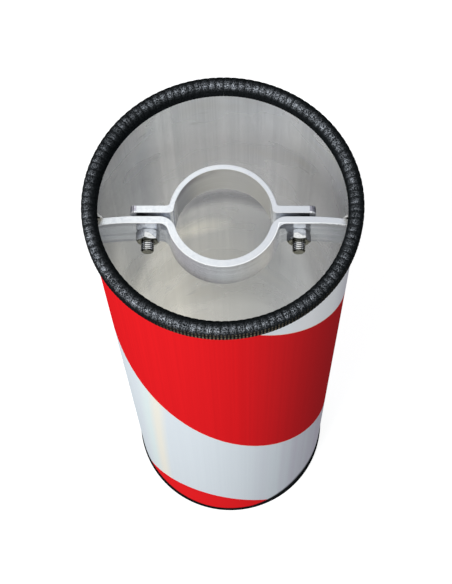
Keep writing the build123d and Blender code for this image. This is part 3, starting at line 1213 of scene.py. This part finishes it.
def makeNut():
    n = nutSet
    high = n["high"]
    corner = n["flats"] / math.sqrt(3)
    face = (n["flats"] - n["faceInset"]) / 2
    drop = (corner - face) * math.tan(math.radians(n["chamferAngle"]))
    clearSelection()
    bpy.ops.mesh.primitive_cylinder_add(vertices=6, radius=corner * mm, depth=high * mm,
                                        location=(0, 0, high * mm / 2))
    nut = named("hexNut")
    settle(nut, place=nut.location)
    blank = lathe("chamferBlank", [(0, 0), (face, 0), (corner, drop), (corner, high - drop), (face, high),
                                   (0, high)], n["chamferSteps"])
    carve(nut, blank, "INTERSECT")
    slope = n["sink"] - n["bore"]
    wide = n["sink"] + toolOver
    bore = lathe("nutBore", [(0, -toolOver), (wide, -toolOver), (n["sink"], 0), (n["bore"], slope),
                             (n["bore"], high - slope), (n["sink"], high), (wide, high + toolOver),
                             (0, high + toolOver)], n["boreSteps"])
    carve(nut, bore, "DIFFERENCE")
    useModifier(nut, "BEVEL", width=n["edge"] * mm, segments=n["edgeSteps"], limit_method="ANGLE",
                angle_limit=math.radians(n["edgeAngle"]))
    return nut


boltModel = makeBolt()
nutModel = makeNut()
for level in levels:
    for side in sides:
        node = f"{level}_{side}_bolt"
        low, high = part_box(node)
        bolt = copyOf(boltModel, f"{level}{side.title()}Bolt")
        seat = high.y - boltSet["headHigh"] * mm
        settle(bolt, turn=(math.pi / 2, 0, 0), place=((low.x + high.x) / 2, seat, (low.z + high.z) / 2))
        smoothBy(bolt, boltSet["smooth"])
        dress(bolt, boltSteel, level + "_cap", node)
        node = f"{level}_{side}_nut"
        low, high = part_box(node)
        nut = copyOf(nutModel, f"{level}{side.title()}Nut")
        settle(nut, turn=(0, 0, math.radians(90 + nutSet["turns"][side])))
        settle(nut, turn=(math.pi / 2, 0, 0), place=((low.x + high.x) / 2, high.y, (low.z + high.z) / 2))
        smoothBy(nut, nutSet["smooth"])
        dress(nut, nutSteel, f"{level}_{side}_nut", node)
for spare in (boltModel, nutModel):
    bpy.data.objects.remove(spare)
print("bolts and nuts made")


# Weld beads with ripples behind the bars' ends, each ending in a sooty crater

weldSet = {
    "inset": 0.03,
    "wall": 96.95,  # radius of the tube's bore, less the gap
    "wallShares": (0.35, 0.7),  # points along the wall
    "barToe": 1.1,  # height of the bead's toe on the bar
    "barLift": 0.05,
    "lumps": (0.0, 0.1, -0.5, 0.2, -0.2, -0.6, 0.1, -0.3, 0.0),  # unevenness of the bead's face
    "step": 0.6,
    "ripple": (1.0, 1.02, 1.03, 1.0, 0.95),
    "waver": (0.975, 0.025, 1.7),  # middle, swing and pace of the ripples' width
    "crescent": 0.9,
    "endShrink": 0.80,
    "topRise": 1.2,  # last ripple stands up to the bar's upper edge
    "rimInset": 0.12,
    "rimPull": 0.80,  # width of the rim round the crater
    "craterPull": 0.90,
    "craterDeep": 1.2,
    "smooth": 60,  # degrees
}


def wallAt(y):  # how far out the tube's bore is
    return math.sqrt(weldSet["wall"] ** 2 - y ** 2)


def weldOutline(low, high):  # from the corner along the wall, over the bead's face and back along the bar
    w = weldSet
    corner = Vector((high.x / mm - w["inset"], low.y / mm + w["inset"], 0))
    wallToe = Vector((wallAt(high.y / mm), high.y / mm, 0))
    barToe = Vector((low.x / mm, low.y / mm + w["barToe"], 0))
    outline = [corner]
    for share in w["wallShares"]:
        y = corner.y + (wallToe.y - corner.y) * share
        outline.append(Vector((wallAt(y) - w["inset"], y, 0)))
    outward = Vector((-1, 1, 0)).normalized()
    for step, lump in enumerate(w["lumps"]):
        share = step / (len(w["lumps"]) - 1)
        bulge = math.sin(math.pi * share)
        outline.append(wallToe.lerp(barToe, share) + outward * lump + Vector((0, 0, w["crescent"] * bulge)))
    outline.append(barToe.lerp(corner, 0.5) + Vector((0, w["barLift"], 0)))
    return outline


def makeWeld(node, name):  # right-hand bead of one clamp
    w = weldSet
    low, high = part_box(node)
    outline = weldOutline(low, high)
    base = low.z / mm
    points = [(point + Vector((0, 0, base))) * mm for point in outline]
    piece = traceOutline(name, points)
    closeOutline(piece, points)
    selectAll()
    centre = Vector((outline[0].x * mm, outline[0].y * mm, base * mm))
    size = w["endShrink"]
    bpy.ops.transform.resize(value=(size, size, 1), center_override=centre)
    rise = (high.z - low.z) / mm - w["crescent"] + w["topRise"]
    steps = int(rise / w["step"])
    middle, swing, pace = w["waver"]
    for step in range(1, steps + 1):
        wanted = w["ripple"][step % len(w["ripple"])] * (middle + swing * math.sin(pace * step))
        if step == 1:
            wanted = (1 + w["endShrink"]) / 2
        bpy.ops.mesh.extrude_region_move(TRANSFORM_OT_translate={"value": (0, 0, rise / steps * mm)})
        centre.z += rise / steps * mm
        bpy.ops.transform.resize(value=(wanted / size, wanted / size, 1), center_override=centre)
        size = wanted
    bpy.ops.mesh.edge_face_add()
    for pull, sink in ((w["rimPull"], 0.0), (w["craterPull"], w["craterDeep"])):
        bpy.ops.mesh.inset(thickness=w["rimInset"] * mm)
        bpy.ops.transform.resize(value=(pull, pull, 1), center_override=centre)
        bpy.ops.transform.translate(value=(0, 0, -sink * mm))
    shape = bmesh.from_edit_mesh(piece.data)
    shape.verts.index_update()
    crater = {vert.index for vert in shape.verts if vert.select}
    sealShell()
    soot = piece.data.attributes.new("soot", "FLOAT", "POINT")
    for vert, mark in zip(piece.data.vertices, soot.data):
        mark.value = 1.0 if vert.index in crater else 0.0
    return piece


def mirrored(piece, name):
    other = copyOf(piece, name)
    openEdit(other)
    selectAll()
    bpy.ops.transform.resize(value=(-1, 1, 1), center_override=(0, 0, 0))
    turnOutwards()
    closeEdit()
    return other


for level in levels:
    right = makeWeld(level + "_right_weld", level + "RightWeld")
    left = mirrored(right, level + "LeftWeld")
    for piece, side in ((right, "right"), (left, "left")):
        smoothBy(piece, weldSet["smooth"])
        dress(piece, bead, "sleeve", f"{level}_{side}_weld")
print("welds made")
